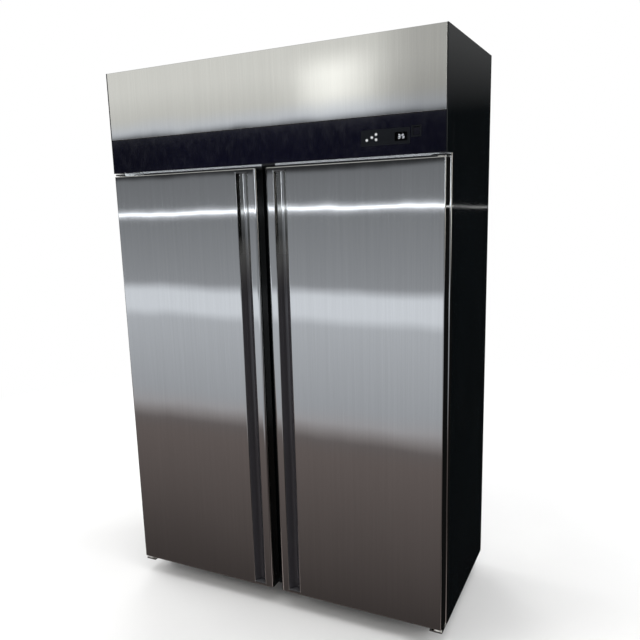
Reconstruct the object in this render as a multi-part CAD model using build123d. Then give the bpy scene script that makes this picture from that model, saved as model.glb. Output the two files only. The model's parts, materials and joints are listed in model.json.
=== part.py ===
from build123d import *

import math
import os

# Two-door upright reach-in refrigerator with its refrigeration unit on top.
# Millimetres. +X is the user's right, the doors face -Y, +Z is up.
# The origin is on the floor, under the middle of the cabinet.

# ---- Driving dimensions ----

WIDTH = 1220.0
DEPTH = 610.0
HEIGHT = 1940.0
FOOT_HEIGHT = 60.0

DOOR_BOTTOM = FOOT_HEIGHT + 10.0
DOOR_TOP = 1582.0
DOOR_DEPTH = 50.0
DOOR_GAP = 34.0
DOOR_INSET = 3.0
BAND_BOTTOM = 1593.0
BAND_TOP = 1708.0
GASKET_GAP = 12.0
FRAME_DEPTH = 14.0

WALL_SIDE = 54.0
WALL_REAR = 52.0
WALL_FLOOR = 62.0
WALL_ROOF = 63.0
STILE_WIDTH = 55.0
MULLION_WIDTH = 100.0

OUTER_SHEET = 1.2
LINER_SHEET = 0.8
SKIN_SHEET = 1.0

GROOVE_START = 29.0
GROOVE_WIDTH = 50.0
GROOVE_SLOPE = 52.0
GROOVE_LIP = 4.0
GROOVE_BOTTOM = 10.0
GROOVE_END = 10.0
END_RADIUS = 11.0
SIDE_RADIUS = 5.0
RIM_RADIUS = 2.5

HINGE_INSET_X = 17.0
HINGE_INSET_Y = 22.0
PIN_RADIUS = 6.0
RUNNING_FIT = 0.05
BUSH_RADIUS = 10.0
BUSH_LENGTH = 30.0
BRACKET_THICKNESS = 5.0
BRACKET_LEG = 4.0
BRACKET_GAP = 3.0

SHELVES_PER_BAY = 3
SHELF_PITCH = 310.0
CONTACT_GAP = 0.3

# ---- Planes and limits worked out from them ----

HALF = WIDTH / 2
FRONT = -DEPTH / 2
BUMPER = 5.0
REAR = DEPTH / 2 - BUMPER
FRAME_FRONT = FRONT + DOOR_DEPTH + GASKET_GAP
BODY_FRONT = FRAME_FRONT + FRAME_DEPTH
DOOR_REAR = FRONT + DOOR_DEPTH
DOOR_INNER = DOOR_GAP / 2
DOOR_OUTER = HALF - DOOR_INSET
HINGE_X = DOOR_OUTER - HINGE_INSET_X
HINGE_Y = FRONT + HINGE_INSET_Y

INNER_X = HALF - WALL_SIDE
INNER_REAR = REAR - WALL_REAR
FLOOR = FOOT_HEIGHT + WALL_FLOOR
CEILING = BAND_BOTTOM - WALL_ROOF
DECK_TOP = BAND_BOTTOM + OUTER_SHEET
MULLION_HALF = MULLION_WIDTH / 2
OPENING_X = HALF - STILE_WIDTH
MULLION_REAR = FRAME_FRONT + 53.0

HOOD_FACE = FRONT + 1.5
CHEEK_THICKNESS = 3.0
HOOD_INNER = HALF - CHEEK_THICKNESS
HEADER_BOTTOM = BAND_TOP + 1.5
HEADER_HALF = HOOD_INNER - 0.7
HEADER_SHEET = 1.6
HEADER_AXIS_Y = FRONT + 9.0
HEADER_AXIS_Z = HEIGHT - 10.0
HEADER_PIN_RADIUS = 4.0

CONTROLLER_X = 426.0
CONTROLLER_Z = 1647.5
CONTROLLER_WIDTH = 150.0
CONTROLLER_HEIGHT = 46.0
KEY_RADIUS = 4.0
BEZEL_FACE = FRONT + 0.4
DISPLAY_LEFT = 104.0
DISPLAY_LOW = 9.0
DISPLAY_WIDTH = 38.0
DISPLAY_HEIGHT = 25.0
ROCKER_X = 520.0
ROCKER_Z = 1658.0
ROCKER_WIDTH = 22.0
ROCKER_HEIGHT = 24.0
ROCKER_AXIS_Y = FRONT + 7.0
ROCKER_AXLE_RADIUS = 2.0
ROCKER_TILT = 8.0

FAN_X = 210.0
FAN_HOLE_RADIUS = 56.0
EVAPORATOR_FRONT = 70.0
EVAPORATOR_SHEET = 1.0
EVAPORATOR_BOTTOM = 1395.0
FAN_Z = (EVAPORATOR_BOTTOM + CEILING) / 2

CONDENSER_X = 130.0
CONDENSER_Z = 1740.0
CONDENSER_FRONT = -80.0
CONDENSER_DEPTH = 60.0
CONDENSER_HALF = 185.0
CONDENSER_HEIGHT = 290.0
CONDENSER_REAR = CONDENSER_FRONT + CONDENSER_DEPTH
SHROUD_DEPTH = 40.0
COMPRESSOR_X = -300.0
COMPRESSOR_Y = 60.0
COMPRESSOR_RADIUS = 78.0
COMPRESSOR_HEIGHT = 190.0
GROMMET_HEIGHT = 12.0
COMPRESSOR_TOP = DECK_TOP + GROMMET_HEIGHT + COMPRESSOR_HEIGHT
GRILLE_REAR = REAR - 15.0
CABLE_X = 500.0
CABLE_Z = DECK_TOP + 40.0
CABLE_RADIUS = 5.0
GLAND_RADIUS = 11.0
DRAIN_RADIUS = 9.0
DRAIN_Z = EVAPORATOR_BOTTOM + 14.0
COIL_TOP = CEILING - 12.0

# Places of the four keys, from the controller's lower left corner
KEYS = {"set": (18, 17), "up": (47, 32), "down": (47, 17), "defrost": (34, 24)}
SIDES = {"left": -1, "right": 1}


# ---- Helpers ----

def block(x0, x1, y0, y1, z0, z1):
    """A box between two corners."""
    middle = Pos((x0 + x1) / 2, (y0 + y1) / 2, (z0 + z1) / 2)
    return middle * Box(abs(x1 - x0), abs(y1 - y0), abs(z1 - z0))


def rod_x(radius, x0, x1, y, z):
    """A round bar along X."""
    return Pos((x0 + x1) / 2, y, z) * Rot(0, 90, 0) * Cylinder(radius, abs(x1 - x0))


def rod_y(radius, y0, y1, x, z):
    """A round bar along Y."""
    return Pos(x, (y0 + y1) / 2, z) * Rot(90, 0, 0) * Cylinder(radius, abs(y1 - y0))


def rod_z(radius, z0, z1, x, y):
    """A round bar along Z."""
    return Pos(x, y, (z0 + z1) / 2) * Cylinder(radius, abs(z1 - z0))


def both_sides(shapes):
    """The right-hand shapes and their mirror images on the left."""
    return list(shapes) + [mirror(shape, about=Plane.YZ) for shape in shapes]


def on_side(shape, side):
    """A right-hand shape, mirrored when it belongs on the left."""
    return shape if SIDES[side] > 0 else mirror(shape, about=Plane.YZ)


def save(name, shapes):
    """Writes one node, from one solid or a list of separate solids."""
    if not isinstance(shapes, list):
        shapes = [shapes]
    solids = [solid for shape in shapes for solid in shape.solids()]
    whole = solids[0] if len(solids) == 1 else Compound(solids)
    export_step(whole, f"parts/{name}.step")


# ---- Doors ----

def groove_tool(offset):
    """The recessed grip's space, grown by offset: round lips, sloping walls and a round bottom."""
    front = FRONT + offset
    outside = FRONT - 5
    lip = GROOVE_LIP - offset
    bowl = GROOVE_BOTTOM + offset
    slope = math.radians(GROOVE_SLOPE)
    half = GROOVE_WIDTH / 2
    middle = DOOR_INNER + GROOVE_START + half
    both_radii = GROOVE_LIP + GROOVE_BOTTOM
    wall_run = (half - both_radii * math.sin(slope)) / math.cos(slope)
    lip_y = FRONT + GROOVE_LIP
    bowl_y = lip_y + wall_run * math.sin(slope) - both_radii * math.cos(slope)
    lip_dx, lip_end = half - lip * math.sin(slope), lip_y - lip * math.cos(slope)
    bowl_dx, bowl_end = bowl * math.sin(slope), bowl_y + bowl * math.cos(slope)
    outline = [
        Line((middle - half, outside), (middle - half, front)),
        CenterArc((middle - half, lip_y), lip, -90, GROOVE_SLOPE),
        Line((middle - lip_dx, lip_end), (middle - bowl_dx, bowl_end)),
        CenterArc((middle, bowl_y), bowl, 90 - GROOVE_SLOPE, 2 * GROOVE_SLOPE),
        Line((middle + bowl_dx, bowl_end), (middle + lip_dx, lip_end)),
        CenterArc((middle + half, lip_y), lip, -90 - GROOVE_SLOPE, GROOVE_SLOPE),
        Line((middle + half, front), (middle + half, outside)),
        Line((middle + half, outside), (middle - half, outside)),
    ]
    bottom = DOOR_BOTTOM + GROOVE_END - offset
    top = DOOR_TOP - GROOVE_END + offset
    return Pos(0, 0, bottom) * extrude(make_face(outline), amount=top - bottom)


def door_slab(offset):
    """The right door's body, shrunk by offset, with its grip channel cut in."""
    x0, x1 = DOOR_INNER + offset, DOOR_OUTER - offset
    z0, z1 = DOOR_BOTTOM + offset, DOOR_TOP - offset
    slab = block(x0, x1, FRONT + offset, DOOR_REAR, z0, z1)
    for at_free_end, radius in ((True, END_RADIUS), (False, SIDE_RADIUS)):
        uprights = slab.edges().filter_by(Axis.Z).sort_by(Axis.Y)[:2].sort_by(Axis.X)
        slab = fillet(uprights[0 if at_free_end else -1], radius - offset)
    rims = [e for e in slab.edges() if e.center().Y < DOOR_REAR - 1 and abs(e.tangent_at(0.5).Z) < 0.5]
    slab = fillet(rims, RIM_RADIUS - offset)
    return slab - groove_tool(offset)


def plug(offset):
    """The raised field of the door's inner panel, shrunk by offset."""
    x0, x1 = MULLION_HALF + 8 + offset, OPENING_X - 8 - offset
    z0, z1 = FLOOR + 8 + offset, CEILING - 8 - offset
    raised = block(x0, x1, DOOR_REAR - 5, DOOR_REAR + 22 - offset, z0, z1)
    corners = raised.edges().filter_by(Axis.Y)
    raised = fillet(corners, 12 - offset)
    rim = raised.faces().sort_by(Axis.Y)[-1].edges()
    return fillet(rim, 6 - offset)


def bush_places():
    """Low and high ends of the two hinge bushes inside the door."""
    return [(DOOR_BOTTOM, DOOR_BOTTOM + BUSH_LENGTH), (DOOR_TOP - BUSH_LENGTH, DOOR_TOP)]


def bush_holes():
    """The space of both bushes."""
    return [rod_z(BUSH_RADIUS, z0, z1, HINGE_X, HINGE_Y) for z0, z1 in bush_places()]


def door_skin():
    """One-piece stainless outer skin: face, grip channel and side returns."""
    skin = door_slab(0) - door_slab(SKIN_SHEET)
    for hole in bush_holes():
        skin -= hole
    return skin


def door_foam():
    """The foam that fills the door and its raised inner field."""
    foam = door_slab(SKIN_SHEET) - block(0, HALF, DOOR_REAR - SKIN_SHEET, DOOR_REAR + 1, 0, HEIGHT)
    foam += plug(SKIN_SHEET)
    for hole in bush_holes():
        foam -= hole
    return foam


def door_liner():
    """Formed inner panel of the door."""
    plate = block(DOOR_INNER + SKIN_SHEET, DOOR_OUTER - SKIN_SHEET, DOOR_REAR - SKIN_SHEET, DOOR_REAR,
                  DOOR_BOTTOM + SKIN_SHEET, DOOR_TOP - SKIN_SHEET)
    plate = fillet(plate.edges().filter_by(Axis.Y), RIM_RADIUS - SKIN_SHEET)
    outer = plug(0) & block(0, HALF, DOOR_REAR - SKIN_SHEET, 0, 0, HEIGHT)
    return plate + outer - plug(SKIN_SHEET)


def door_gasket():
    """Four strips of magnetic gasket around the inner panel, each with a flat foot and a soft bulb."""
    inset, strip = 11.0, 20.0
    x0, x1 = DOOR_INNER + inset, HINGE_X - 4
    z0, z1 = DOOR_BOTTOM + inset + 1, DOOR_TOP - inset - 1
    sealing_face = FRAME_FRONT - CONTACT_GAP
    foot = DOOR_REAR + 3.5
    strips = []
    for a0, a1 in ((z0, z0 + strip), (z1 - strip, z1)):
        bulb = block(x0, x1, foot, sealing_face, a0 + 3, a1 - 3)
        strips.append(block(x0, x1, DOOR_REAR, foot, a0, a1) + bulb)
    for b0, b1 in ((x0, x0 + strip), (x1 - strip, x1)):
        bulb = block(b0 + 3, b1 - 3, foot, sealing_face, z0 + strip, z1 - strip)
        strips.append(block(b0, b1, DOOR_REAR, foot, z0 + strip, z1 - strip) + bulb)
    return strips


def door_bushes():
    """Flanged nylon bushes that turn on the bracket pins."""
    bushes = []
    flange_radius = 13.0
    for lower, (z0, z1) in zip((True, False), bush_places()):
        edge = z0 if lower else z1
        reach = FOOT_HEIGHT + CONTACT_GAP if lower else DOOR_TOP + BRACKET_GAP - CONTACT_GAP
        bush = rod_z(BUSH_RADIUS, z0, z1, HINGE_X, HINGE_Y)
        bush += rod_z(flange_radius, min(edge, reach), max(edge, reach), HINGE_X, HINGE_Y)
        bushes.append(bush - rod_z(PIN_RADIUS + RUNNING_FIT, 0, HEIGHT, HINGE_X, HINGE_Y))
    return bushes


def hinge_brackets():
    """Top and bottom hinge brackets with their welded pins, both sides."""
    x0, x1 = HINGE_X - 25, DOOR_OUTER
    front = HINGE_Y - 14
    top_plate = DOOR_TOP + BRACKET_GAP
    top_face = top_plate + BRACKET_THICKNESS
    top = block(x0, x1, front, FRAME_FRONT, top_plate, top_face)
    top += block(x0, x1, FRAME_FRONT - BRACKET_LEG, FRAME_FRONT, top_plate, BAND_BOTTOM + 37)
    top += rod_z(PIN_RADIUS, DOOR_TOP - BUSH_LENGTH + 5, top_face, HINGE_X, HINGE_Y)
    bottom_plate = FOOT_HEIGHT - BRACKET_THICKNESS
    bottom = block(x0, x1, front, BODY_FRONT + 24, bottom_plate, FOOT_HEIGHT)
    bottom += rod_z(PIN_RADIUS, bottom_plate, DOOR_BOTTOM + BUSH_LENGTH - 5, HINGE_X, HINGE_Y)
    return both_sides([top, bottom])


# ---- Cabinet body ----

def foot_places():
    """Centres of the four feet."""
    return {
        f"{row}_{side}": (sign * (HALF - 60), y)
        for row, y in (("front", BODY_FRONT + 55), ("rear", REAR - 50))
        for side, sign in SIDES.items()
    }


def socket_holes():
    """Space of the four foot sockets through the cabinet's bottom."""
    return [rod_z(12, 0, FOOT_HEIGHT + 40, x, y) for x, y in foot_places().values()]


def pipe_hole():
    """Hole in the insulated roof for the two refrigerant pipes."""
    return rod_z(22, CEILING - 5, DECK_TOP + 5, -340, 190)


def drain_path():
    """Centre line of the drain tube: back from the coil tray, then down inside the rear wall."""
    rear_wall_middle = (INNER_REAR + REAR) / 2
    return FilletPolyline(
        (0, 200, DRAIN_Z),
        (0, rear_wall_middle, DRAIN_Z),
        (0, rear_wall_middle, 48),
        radius=12,
    )


def tube_along(path, radius):
    """A round solid swept along a path."""
    profile = Plane(path @ 0, z_dir=path % 0) * Circle(radius)
    return sweep(profile, path=path)


def side_panel():
    """Right outer side panel, with a short fold at the rear edge."""
    panel = block(HALF - OUTER_SHEET, HALF, BODY_FRONT, REAR, FOOT_HEIGHT, HEIGHT)
    fold = block(HALF - 14, HALF, REAR - OUTER_SHEET, REAR, DECK_TOP, HEIGHT)
    return panel + fold


def rear_panel():
    """Plain rear sheet behind the insulated body."""
    x = HALF - OUTER_SHEET
    return block(-x, x, REAR - OUTER_SHEET, REAR, FOOT_HEIGHT + OUTER_SHEET, DECK_TOP)


def bottom_panel():
    """Bottom sheet, with holes for the foot sockets and the drain."""
    x = HALF - OUTER_SHEET
    panel = block(-x, x, BODY_FRONT, REAR, FOOT_HEIGHT, FOOT_HEIGHT + OUTER_SHEET)
    for hole in socket_holes():
        panel -= hole
    return panel - tube_along(drain_path(), DRAIN_RADIUS)


def insulation():
    """Foam slabs of the floor, roof, side walls and rear wall."""
    x = HALF - OUTER_SHEET
    front, rear = BODY_FRONT, REAR - OUTER_SHEET
    low, high = FLOOR - LINER_SHEET, CEILING + LINER_SHEET
    inner_x, inner_rear = INNER_X + LINER_SHEET, INNER_REAR + LINER_SHEET
    drain = tube_along(drain_path(), DRAIN_RADIUS)
    floor_slab = block(-x, x, front, rear, FOOT_HEIGHT + OUTER_SHEET, low) - drain
    for hole in socket_holes():
        floor_slab -= hole
    roof_slab = block(-x, x, front, rear, high, BAND_BOTTOM) - pipe_hole()
    wall = block(inner_x, x, front, rear, low, high)
    rear_slab = block(-inner_x, inner_x, inner_rear, rear, low, high) - drain
    return [floor_slab, roof_slab, rear_slab] + both_sides([wall])


def inner_liner():
    """One-piece stainless compartment with coved corners, open at the front."""
    t = LINER_SHEET
    outer = block(-INNER_X - t, INNER_X + t, BODY_FRONT, INNER_REAR + t, FLOOR - t, CEILING + t)
    inner = block(-INNER_X, INNER_X, BODY_FRONT - 20, INNER_REAR, FLOOR, CEILING)
    cove = 10.0
    inner = fillet([e for e in inner.edges() if e.center().Y > BODY_FRONT], cove)
    liner = outer - inner - tube_along(drain_path(), DRAIN_RADIUS)
    return liner - pipe_hole()


def front_frame():
    """Stainless front frame: stiles with a round outer corner, sill, lintel and hood back plate."""
    t = OUTER_SHEET
    outer = block(OPENING_X, HALF, FRAME_FRONT, BODY_FRONT, FOOT_HEIGHT, BAND_BOTTOM)
    outer_edge = outer.edges().filter_by(Axis.Z).sort_by(Axis.Y)[:2].sort_by(Axis.X)[-1]
    outer = fillet(outer_edge, 8)
    inner = block(OPENING_X - 5, HALF - t, FRAME_FRONT + t, BODY_FRONT + 5, 0, HEIGHT)
    inner_edge = inner.edges().filter_by(Axis.Z).sort_by(Axis.Y)[:2].sort_by(Axis.X)[-1]
    stile = outer - fillet(inner_edge, 8 - t)
    sill = block(-OPENING_X, OPENING_X, FRAME_FRONT, FRAME_FRONT + t, FOOT_HEIGHT, FLOOR)
    lintel = block(-OPENING_X, OPENING_X, FRAME_FRONT, FRAME_FRONT + t, CEILING, BAND_BOTTOM)
    back_plate = block(-HOOD_INNER, HOOD_INNER, FRAME_FRONT, FRAME_FRONT + t, BAND_BOTTOM, BAND_BOTTOM + 41)
    return both_sides([stile]) + [sill, lintel, back_plate]


def mullion():
    """Box-section centre post between the two door openings, with a cover strip behind the doors' gap."""
    wall = 1.5
    post = block(-MULLION_HALF, MULLION_HALF, FRAME_FRONT, MULLION_REAR, FLOOR, CEILING)
    bore_half = MULLION_HALF - wall
    bore = block(-bore_half, bore_half, FRAME_FRONT + wall, MULLION_REAR - wall, 0, HEIGHT)
    cover_half = DOOR_INNER + 8
    cover = block(-cover_half, cover_half, FRAME_FRONT - OUTER_SHEET, FRAME_FRONT, FOOT_HEIGHT, BAND_BOTTOM)
    return post - bore + cover


def breaker_strips():
    """Plastic strips that line both door openings between the frame and the liner."""
    t = 2.0
    y0, y1 = FRAME_FRONT + OUTER_SHEET, BODY_FRONT
    upright = block(OPENING_X - t, OPENING_X, y0, y1, FLOOR, CEILING)
    low = block(MULLION_HALF, OPENING_X - t, y0, y1, FLOOR, FLOOR + t)
    high = block(MULLION_HALF, OPENING_X - t, y0, y1, CEILING - t, CEILING)
    return both_sides([upright, low, high])


def machine_deck():
    """Floor sheet of the machine compartment."""
    x = HALF - OUTER_SHEET
    return block(-x, x, BODY_FRONT, REAR - OUTER_SHEET, BAND_BOTTOM, DECK_TOP) - pipe_hole()


def rear_grille():
    """Louvred rear cover of the machine compartment, set in from the rear edge."""
    plate_front = GRILLE_REAR - OUTER_SHEET
    edge, slot_length, slot_height, pitch, rows = 15.0, 200.0, 6.0, 18.0, 12
    grille = block(-HALF + edge, HALF - edge, plate_front, GRILLE_REAR, DECK_TOP, HEIGHT - 2)
    cutters = []
    for x in (-390, -130, 130, 390):
        for row in range(rows):
            z = DECK_TOP + 70 + pitch * row
            cutters.append(block(x - slot_length / 2, x + slot_length / 2,
                                 plate_front - 5, REAR, z, z + slot_height))
    grille -= Compound(cutters)
    return grille - rod_y(GLAND_RADIUS, plate_front - 5, REAR, CABLE_X, CABLE_Z)


def top_cover():
    """Sheet over the machine compartment, with two fields of air slots."""
    x = HALF - OUTER_SHEET
    thickness = 1.5
    start = HEADER_AXIS_Y + 16
    cover = block(-HOOD_INNER, HOOD_INNER, start, BODY_FRONT, HEIGHT - thickness, HEIGHT)
    cover += block(-x, x, BODY_FRONT, REAR - OUTER_SHEET, HEIGHT - thickness, HEIGHT)
    slot_length, slot_width, pitch, rows = 320.0, 8.0, 24.0, 10
    cutters = []
    for x in (-300, 300):
        for row in range(rows):
            y = -60 + pitch * row
            cutters.append(block(x - slot_length / 2, x + slot_length / 2, y, y + slot_width,
                                 HEIGHT - 5, HEIGHT + 5))
    return cover - Compound(cutters)


def hood():
    """Black hood frame: two cheeks, the underside and the rail behind the header's lower edge."""
    cheek = block(HOOD_INNER, HALF, FRONT + 0.5, BODY_FRONT, BAND_BOTTOM, HEIGHT)
    front_edges = cheek.edges().filter_by(Axis.Z).sort_by(Axis.Y)[:2].sort_by(Axis.X)[-1]
    cheek = fillet(front_edges, 2.5)
    cheek -= rod_x(HEADER_PIN_RADIUS + RUNNING_FIT, 0, HALF + 5, HEADER_AXIS_Y, HEADER_AXIS_Z)
    cheeks = both_sides([cheek])
    underside = block(-HOOD_INNER, HOOD_INNER, FRONT + 5, FRAME_FRONT - 5, BAND_BOTTOM, BAND_BOTTOM + 1.5)
    rail_top, rail_bottom = HEADER_BOTTOM + 9, BAND_TOP - 24
    rail = block(-HOOD_INNER, HOOD_INNER, FRONT + 17, FRONT + 19, rail_bottom, rail_top)
    rail += block(-HOOD_INNER, HOOD_INNER, FRONT + 17, FRONT + 40, rail_bottom, rail_bottom + 2)
    return cheeks + [underside, rail]


def control_fascia():
    """Gloss band below the header, with a folded top edge and cut-outs for the controls."""
    face = block(-HEADER_HALF, HEADER_HALF, HOOD_FACE, HOOD_FACE + 3, BAND_BOTTOM + 0.5, BAND_TOP)
    rims = [e for e in face.edges().filter_by(Axis.X) if e.center().Y < HOOD_FACE + 1]
    face = fillet(rims, 1.2)
    fold = block(-HEADER_HALF, HEADER_HALF, HOOD_FACE + 3, FRONT + 17, BAND_TOP - 3, BAND_TOP)
    band = face + fold
    band -= controller_opening(0)
    return band - rocker_opening(0)


def controller_opening(clearance):
    """Space of the controller's body through the band."""
    x, z = CONTROLLER_X, CONTROLLER_Z
    half_w, half_h = CONTROLLER_WIDTH / 2 - 4 + clearance, CONTROLLER_HEIGHT / 2 - 4 + clearance
    return block(x - half_w, x + half_w, FRONT - 1, FRONT + 60, z - half_h, z + half_h)


def rocker_opening(clearance):
    """Space of the power switch's body through the band."""
    half_w, half_h = ROCKER_WIDTH / 2 + 2 + clearance, ROCKER_HEIGHT / 2 + 2 + clearance
    return block(ROCKER_X - half_w, ROCKER_X + half_w, FRONT - 1, FRONT + 60,
                 ROCKER_Z - half_h, ROCKER_Z + half_h)


def key_centre(name):
    """Middle of one key on the controller's face."""
    dx, dz = KEYS[name]
    return CONTROLLER_X - CONTROLLER_WIDTH / 2 + dx, CONTROLLER_Z - CONTROLLER_HEIGHT / 2 + dz


def display_box(y0, y1):
    """The display window's space between two depths."""
    x0 = CONTROLLER_X - CONTROLLER_WIDTH / 2 + DISPLAY_LEFT
    z0 = CONTROLLER_Z - CONTROLLER_HEIGHT / 2 + DISPLAY_LOW
    return block(x0, x0 + DISPLAY_WIDTH, y0, y1, z0, z0 + DISPLAY_HEIGHT)


def controller_body():
    """Controller bezel with its housing behind the band, and the power switch's bezel."""
    x, z = CONTROLLER_X, CONTROLLER_Z
    half_w, half_h = CONTROLLER_WIDTH / 2, CONTROLLER_HEIGHT / 2
    bezel = block(x - half_w, x + half_w, BEZEL_FACE, HOOD_FACE, z - half_h, z + half_h)
    bezel = fillet(bezel.edges().filter_by(Axis.Y), 3)
    housing = controller_opening(0) & block(0, HALF, HOOD_FACE - 0.5, FRONT + 48, 0, HEIGHT)
    body = bezel + housing
    body -= display_box(FRONT - 1, FRONT + 3)
    for name in KEYS:
        key_x, key_z = key_centre(name)
        body -= rod_y(KEY_RADIUS + 0.3, FRONT - 1, FRONT + 6, key_x, key_z)
    switch = rocker_opening(2) & block(0, HALF, BEZEL_FACE, HOOD_FACE, 0, HEIGHT)
    switch += rocker_opening(0) & block(0, HALF, HOOD_FACE - 0.5, FRONT + 34, 0, HEIGHT)
    x0, x1 = ROCKER_X - ROCKER_WIDTH / 2, ROCKER_X + ROCKER_WIDTH / 2
    well = block(x0, x1, FRONT - 1, FRONT + 16, ROCKER_Z - ROCKER_HEIGHT / 2, ROCKER_Z + ROCKER_HEIGHT / 2)
    axle = rod_x(ROCKER_AXLE_RADIUS + RUNNING_FIT, x0 - 1.5, x1 + 1.5, ROCKER_AXIS_Y, ROCKER_Z)
    return [body, switch - well - axle]


def display_lens():
    """Clear window over the digits."""
    return display_box(BEZEL_FACE + 0.1, FRONT + 3)


def controller_key(name):
    """One round key with its stem."""
    x, z = key_centre(name)
    cap = rod_y(KEY_RADIUS, FRONT + 0.1, FRONT + 3.5, x, z)
    rim = cap.faces().sort_by(Axis.Y)[0].edges()
    return fillet(rim, 0.5)


def power_rocker():
    """Rocker of the power switch, tipped to one of its two positions, with its axle stubs."""
    half_w = ROCKER_WIDTH / 2 - 0.5
    half_h = ROCKER_HEIGHT / 2 - 1.6
    z = ROCKER_Z
    outline = Polyline(
        (FRONT + 1.4, z + half_h),
        (FRONT + 3.0, z),
        (FRONT + 1.4, z - half_h),
        (FRONT + 9.0, z - half_h + 2),
        (FRONT + 9.0, z + half_h - 2),
        close=True,
    )
    rocker = Plane.YZ.offset(ROCKER_X - half_w) * make_face(outline)
    rocker = extrude(rocker, amount=2 * half_w)
    axle_half = ROCKER_WIDTH / 2 + 1.2
    rocker = rocker.rotate(Axis((ROCKER_X, ROCKER_AXIS_Y, z), (1, 0, 0)), ROCKER_TILT)
    return rocker + rod_x(ROCKER_AXLE_RADIUS, ROCKER_X - axle_half, ROCKER_X + axle_half, ROCKER_AXIS_Y, z)


def header_panel():
    """Lift-up stainless header: face sheet, stiffening folds and the two hinge pins."""
    back = HOOD_FACE + HEADER_SHEET
    face = block(-HEADER_HALF, HEADER_HALF, HOOD_FACE, back, HEADER_BOTTOM, HEIGHT)
    rims = [e for e in face.faces().sort_by(Axis.Y)[0].edges()]
    face = fillet(rims, 1.2)
    top_fold = block(-HEADER_HALF + 8, HEADER_HALF - 8, back, HEADER_AXIS_Y + 10, HEIGHT - 1.6, HEIGHT)
    low_fold = block(-HEADER_HALF + 8, HEADER_HALF - 8, back, FRONT + 15, HEADER_BOTTOM, HEADER_BOTTOM + 1.6)
    panel = face + top_fold + low_fold
    ear_inner = HOOD_INNER - 9
    for sign in SIDES.values():
        x0, x1 = sign * ear_inner, sign * (ear_inner + 2)
        panel += block(x0, x1, back, FRONT + 15, HEADER_BOTTOM, HEIGHT)
        panel += rod_x(HEADER_PIN_RADIUS, x0, sign * (HALF - 0.5), HEADER_AXIS_Y, HEADER_AXIS_Z)
    return panel


def base_rails():
    """Two front-to-back rails under the cabinet, and the threaded sockets of the four feet."""
    places = list(foot_places().values())
    x = abs(places[0][0])
    y0 = min(y for _, y in places) - 30
    y1 = max(y for _, y in places) + 30
    rail = block(x - 20, x + 20, y0, y1, FOOT_HEIGHT - 15, FOOT_HEIGHT)
    rails = both_sides([rail])
    pieces = []
    for rail in rails:
        for px, py in places:
            rail -= rod_z(12, 0, FOOT_HEIGHT + 5, px, py)
        pieces.append(rail)
    for px, py in places:
        socket = rod_z(12, FOOT_HEIGHT - 15, FOOT_HEIGHT + 40, px, py)
        pieces.append(socket - rod_z(PIN_RADIUS + RUNNING_FIT, 0, FOOT_HEIGHT + 37, px, py))
    return pieces


def levelling_foot(x, y):
    """Threaded stud with a hexagon collar and a round pad."""
    foot = rod_z(25, 0, 8, x, y)
    foot = fillet(foot.edges().sort_by(Axis.Z)[-1], 3)
    foot += Pos(x, y, 14) * Cone(16, 9, 12)
    foot += Pos(x, y, 20) * extrude(RegularPolygon(11, 6), amount=8)
    return foot + rod_z(PIN_RADIUS, 10, FOOT_HEIGHT + 34, x, y)


def condensate_pan():
    """Shallow pan under the cabinet that catches the drain, hung on two flanges."""
    pan = block(-110, 110, 200, 290, 25, FOOT_HEIGHT)
    pan -= block(-108.5, 108.5, 201.5, 288.5, 26.5, FOOT_HEIGHT + 5)
    for sign in SIDES.values():
        pan += block(sign * 110, sign * 128, 215, 275, FOOT_HEIGHT - 2, FOOT_HEIGHT)
    return pan


def wall_bumpers():
    """Two rubber bumpers on the rear that keep air behind the unit."""
    bumper = rod_y(14, REAR, REAR + BUMPER, HALF - 60, DECK_TOP - 60)
    return both_sides([bumper])


def cable_gland():
    """Empty mains cable gland in the rear grille."""
    gland = rod_y(GLAND_RADIUS, GRILLE_REAR - 12, GRILLE_REAR, CABLE_X, CABLE_Z)
    gland += rod_y(GLAND_RADIUS + 5, GRILLE_REAR, GRILLE_REAR + 5, CABLE_X, CABLE_Z)
    nut_plane = Plane(origin=(CABLE_X, GRILLE_REAR + 5, CABLE_Z), z_dir=(0, 1, 0))
    gland += extrude(nut_plane * RegularPolygon(GLAND_RADIUS + 2, 6), amount=9)
    return gland - rod_y(CABLE_RADIUS, GRILLE_REAR - 20, REAR + 5, CABLE_X, CABLE_Z)


def panel_screws():
    """Pan-head screws of the rear grille and of the hinge brackets."""
    head_height = 2.5
    bracket_face = FRAME_FRONT - BRACKET_LEG
    bracket_low = FOOT_HEIGHT - BRACKET_THICKNESS
    screws = []
    for x in (-580, -260, 260, 580):
        for z in (DECK_TOP + 15, HEIGHT - 18):
            screws.append(rod_y(5, GRILLE_REAR, GRILLE_REAR + head_height, x, z))
    for sign in SIDES.values():
        for dx in (-14, 6):
            x = sign * (HINGE_X + dx)
            screws.append(rod_y(4, bracket_face - head_height, bracket_face, x, BAND_BOTTOM + 22))
            screws.append(rod_z(4, bracket_low - head_height, bracket_low, x, BODY_FRONT + 12))
    return screws


# ---- Inside the compartment ----

def pilaster_places():
    """The eight pilasters: each one's X and Y limits."""
    thick, wide = 8.0, 20.0
    places = []
    for y in (-150.0, 185.0):
        places.append((INNER_X - thick, INNER_X, y - wide / 2, y + wide / 2))
    for y0 in (MULLION_REAR, INNER_REAR - thick):
        places.append((10.0, 10.0 + wide, y0, y0 + thick))
    return places


def shelf_levels():
    """Height of the underside of each shelf."""
    return [FLOOR + SHELF_PITCH * (1 + k) for k in range(SHELVES_PER_BAY)]


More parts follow.
